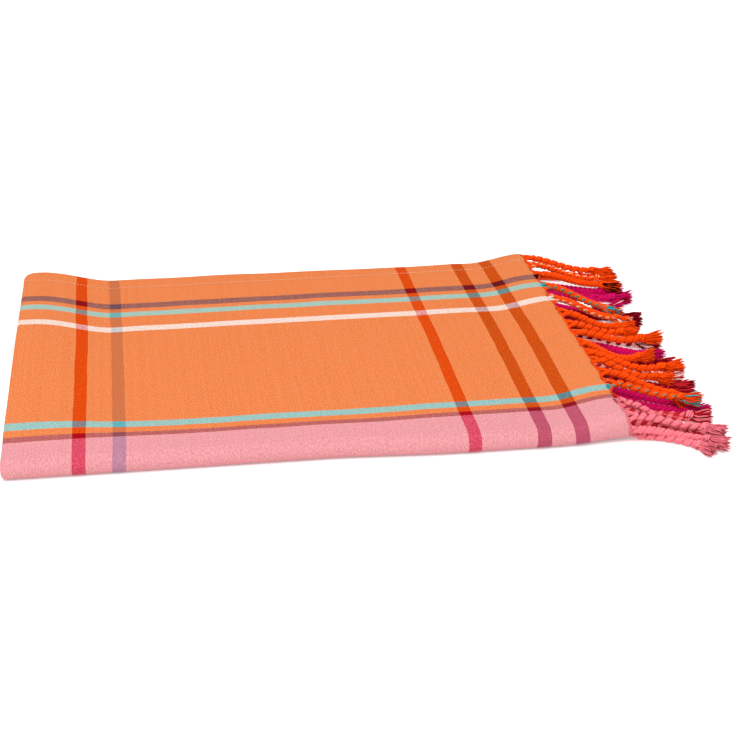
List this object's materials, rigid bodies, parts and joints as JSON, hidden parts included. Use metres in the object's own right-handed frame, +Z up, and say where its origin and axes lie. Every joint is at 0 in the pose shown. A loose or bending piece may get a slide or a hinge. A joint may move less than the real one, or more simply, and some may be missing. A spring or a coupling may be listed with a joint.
{
  "type": "folded hammam towel",
  "caption": "Flat-woven checked cotton bath towel, folded in three and in half, with twisted and knotted cord fringes at both ends.",
  "frame": {"origin": "centre of the footprint, on the surface the towel lies on", "axes": "+X along the warp from the left fold to the fringed end, +Y from the front fold to the hemmed back edges, +Z up"},
  "size_m": [0.6906, 0.5036, 0.035],
  "materials": {
    "cloth": "flat-woven cotton, matte, orange and pink with cross and lengthwise stripes",
    "fringe": "twisted cotton yarn, matte, in the colours of the warp it continues"
  },
  "bodies": {
    "root": {"towel_cloth": "cloth", "outer_fringe": "fringe", "inner_fringe": "fringe"}
  },
  "joints": []
}
